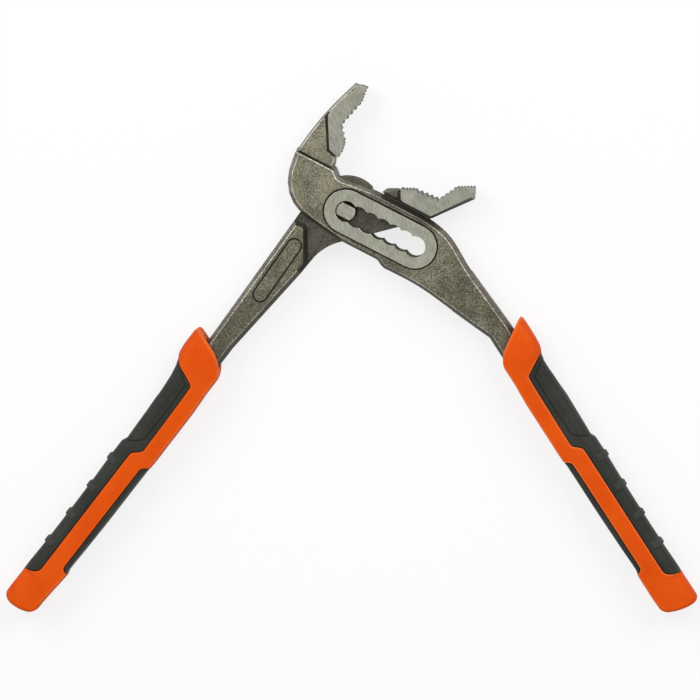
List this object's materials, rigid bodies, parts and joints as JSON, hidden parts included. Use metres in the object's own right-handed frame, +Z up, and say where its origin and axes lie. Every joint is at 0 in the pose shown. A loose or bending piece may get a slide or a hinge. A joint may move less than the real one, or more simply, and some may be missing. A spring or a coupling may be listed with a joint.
{
  "type": "water pump pliers",
  "caption": "Water pump pliers with a toothed slot box joint, hooked serrated jaws and two-tone moulded grips; the jaw slides along the slot and locks as the handles close.",
  "frame": {"origin": "bottom centre of the part's box, with the tool lying flat and its handles wide open", "axes": "+X to the right across the handles, +Y from the handles towards the jaws, +Z up through the flat of the tool"},
  "size_m": [0.2866, 0.22, 0.015],
  "materials": {
    "steel": "forged scale, ground bright on the jaw faces and slot rim",
    "pin_steel": "ground",
    "orange_grip": "smooth moulded",
    "black_pad": "fine matt"
  },
  "bodies": {
    "slotted_half": {"slotted_lever": "steel", "slotted_lever_grip": "orange_grip", "slotted_lever_back_pad": "black_pad", "slotted_lever_belly_pad": "black_pad"},
    "pin_core": {"pivot_dowel": "pin_steel"},
    "through_half": {"through_lever": "steel", "through_lever_grip": "orange_grip", "through_lever_back_pad": "black_pad", "through_lever_belly_pad": "black_pad", "front_locking_key": "pin_steel", "rear_locking_key": "pin_steel"}
  },
  "joints": [
    {"name": "slot_slide", "type": "slide", "parent": "slotted_half", "child": "pin_core", "axis": [0.8918, -0.4524, 0], "range_m": [0, 0.03198]},
    {"name": "jaw_hinge", "type": "hinge", "parent": "pin_core", "child": "through_half", "pos_m": [-0.00175, 0.05723, 0.0075], "axis": [0, 0, 1], "range_deg": [0, 62]}
  ]
}
